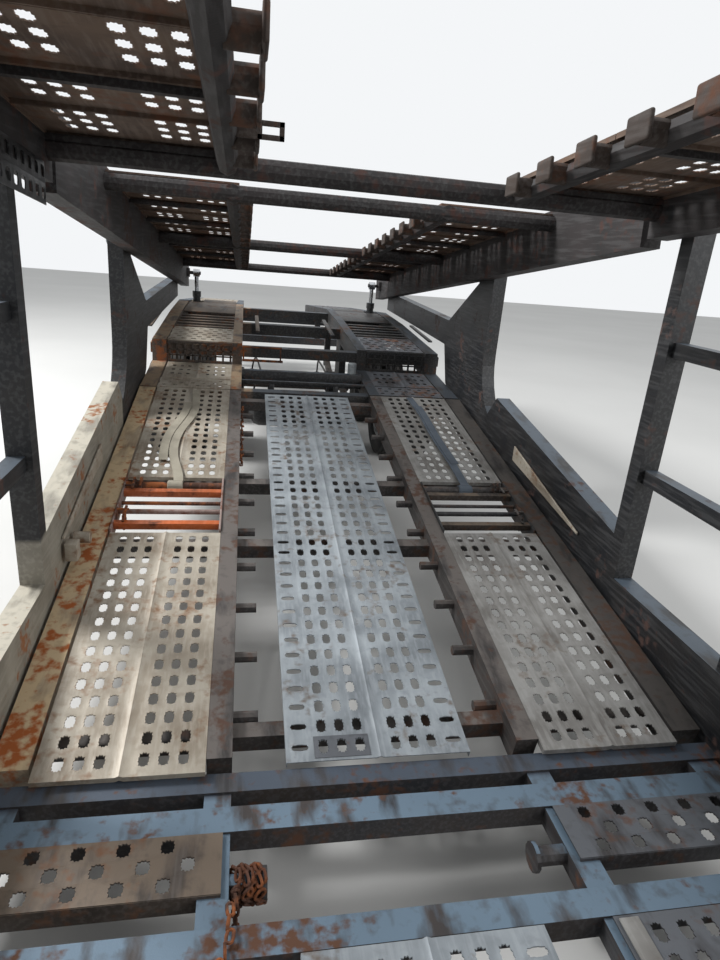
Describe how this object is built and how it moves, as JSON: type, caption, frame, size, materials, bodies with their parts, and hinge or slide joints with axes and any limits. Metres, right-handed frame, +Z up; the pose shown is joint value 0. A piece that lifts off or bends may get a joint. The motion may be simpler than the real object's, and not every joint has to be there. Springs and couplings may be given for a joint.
{
  "type": "double-deck car transporter semitrailer",
  "caption": "Empty two-level car carrying semitrailer with a low belly deck, perforated wheel runways, tilting upper decks, slide-out ramps and twin wheels on two axles.",
  "frame": {"origin": "on the ground, at the middle of the trailer's length and width", "axes": "+Y runs to the tail and -Y to the king pin, +X is the right side seen facing the tail, +Z is up"},
  "size_m": [2.59, 14.6, 2.74],
  "materials": {
    "black_paint": "worn black chassis paint with scuffs",
    "worn_steel": "worn brown-grey painted steel with rust",
    "tread_plate": "scuffed, dimple-punched alloy plate",
    "rusty_plate": "rusty steel plate",
    "zinc_steel": "dull galvanised steel",
    "chrome": "hard chromed rod",
    "wheel_silver": "silver painted steel wheel",
    "tyre": "dusty black rubber",
    "webbing": "grey-cream polyester webbing"
  },
  "bodies": {
    "chassis": {"axle_front": "worn_steel", "axle_rear": "worn_steel", "bay_centre": "tread_plate", "bay_floor_left": "tread_plate", "bay_floor_right": "tread_plate", "belly_frame": "worn_steel", "centre_panel": "tread_plate", "front_step_left": "tread_plate", "front_step_right": "tread_plate", "landing_leg_left": "black_paint", "landing_leg_right": "black_paint", "mid_frame": "worn_steel", "neck_floor_left": "tread_plate", "neck_floor_right": "tread_plate", "neck_frame": "black_paint", "rear_frame": "black_paint", "rear_runway_left": "tread_plate", "rear_runway_right": "tread_plate", "runway_far_left": "tread_plate", "runway_far_right": "tread_plate", "runway_near_left": "tread_plate", "runway_near_right": "tread_plate", "side_frame_left": "black_paint", "side_frame_right": "black_paint", "strap_left": "webbing", "strap_right": "webbing", "strap_winch_left": "rusty_plate", "strap_winch_right": "rusty_plate", "tail_bar": "black_paint"},
    "front_deck": {"front_deck_frame": "rusty_plate", "front_deck_runway_left": "rusty_plate", "front_deck_runway_right": "rusty_plate"},
    "rear_deck": {"rear_deck_frame": "rusty_plate", "rear_deck_runway_left": "rusty_plate", "rear_deck_runway_right": "rusty_plate"},
    "wheels_front_left": {"wheel_front_left": "wheel_silver", "tyre_front_left_outer": "tyre", "tyre_front_left_inner": "tyre"},
    "wheels_rear_left": {"wheel_rear_left": "wheel_silver", "tyre_rear_left_outer": "tyre", "tyre_rear_left_inner": "tyre"},
    "lift_barrel_left": {"lift_barrel_left": "black_paint"},
    "lift_rod_left": {"lift_rod_left": "chrome"},
    "ramp_left": {"loading_ramp_left": "zinc_steel"},
    "wheels_front_right": {"wheel_front_right": "wheel_silver", "tyre_front_right_outer": "tyre", "tyre_front_right_inner": "tyre"},
    "wheels_rear_right": {"wheel_rear_right": "wheel_silver", "tyre_rear_right_outer": "tyre", "tyre_rear_right_inner": "tyre"},
    "lift_barrel_right": {"lift_barrel_right": "black_paint"},
    "lift_rod_right": {"lift_rod_right": "chrome"},
    "ramp_right": {"loading_ramp_right": "zinc_steel"}
  },
  "joints": [
    {"name": "wheels_front_left_spin", "type": "hinge", "parent": "chassis", "child": "wheels_front_left", "pos_m": [-1.04, 2.75, 0.3985], "axis": [1, 0, 0], "continuous": true},
    {"name": "wheels_front_right_spin", "type": "hinge", "parent": "chassis", "child": "wheels_front_right", "pos_m": [1.04, 2.75, 0.3985], "axis": [1, 0, 0], "continuous": true},
    {"name": "wheels_rear_left_spin", "type": "hinge", "parent": "chassis", "child": "wheels_rear_left", "pos_m": [-1.04, 4, 0.3985], "axis": [1, 0, 0], "continuous": true},
    {"name": "wheels_rear_right_spin", "type": "hinge", "parent": "chassis", "child": "wheels_rear_right", "pos_m": [1.04, 4, 0.3985], "axis": [1, 0, 0], "continuous": true},
    {"name": "front_deck_tilt", "type": "hinge", "parent": "chassis", "child": "front_deck", "pos_m": [0, -0.815, 2.07], "axis": [-1, 0, 0], "range_deg": [-4.9, 3]},
    {"name": "rear_deck_tilt", "type": "hinge", "parent": "chassis", "child": "rear_deck", "pos_m": [0, 1.28, 1.8], "axis": [1, 0, 0], "range_deg": [0, 7]},
    {"name": "lift_barrel_left_swing", "type": "hinge", "parent": "chassis", "child": "lift_barrel_left", "pos_m": [-1, 4.51536, 0.82], "axis": [1, 0, 0], "range_deg": [-1.2, 0.2]},
    {"name": "lift_rod_left_slide", "type": "slide", "parent": "lift_barrel_left", "child": "lift_rod_left", "axis": [0, 0, 1], "range_m": [0, 0.4]},
    {"name": "ramp_left_slide", "type": "slide", "parent": "chassis", "child": "ramp_left", "axis": [0, 0.9977, -0.0677], "range_m": [0, 1.9]},
    {"name": "lift_barrel_right_swing", "type": "hinge", "parent": "chassis", "child": "lift_barrel_right", "pos_m": [1, 4.51536, 0.82], "axis": [1, 0, 0], "range_deg": [-1.2, 0.2]},
    {"name": "lift_rod_right_slide", "type": "slide", "parent": "lift_barrel_right", "child": "lift_rod_right", "axis": [0, 0, 1], "range_m": [0, 0.4]},
    {"name": "ramp_right_slide", "type": "slide", "parent": "chassis", "child": "ramp_right", "axis": [0, 0.9977, -0.0677], "range_m": [0, 1.9]}
  ],
  "couplings": [
    {"joint": "lift_barrel_left_swing", "follows": "rear_deck_tilt", "ratio": -0.1503},
    {"joint": "lift_rod_left_slide", "follows": "rear_deck_tilt", "m_per_rad": 3.2472},
    {"joint": "lift_barrel_right_swing", "follows": "rear_deck_tilt", "ratio": -0.1503},
    {"joint": "lift_rod_right_slide", "follows": "rear_deck_tilt", "m_per_rad": 3.2472}
  ]
}
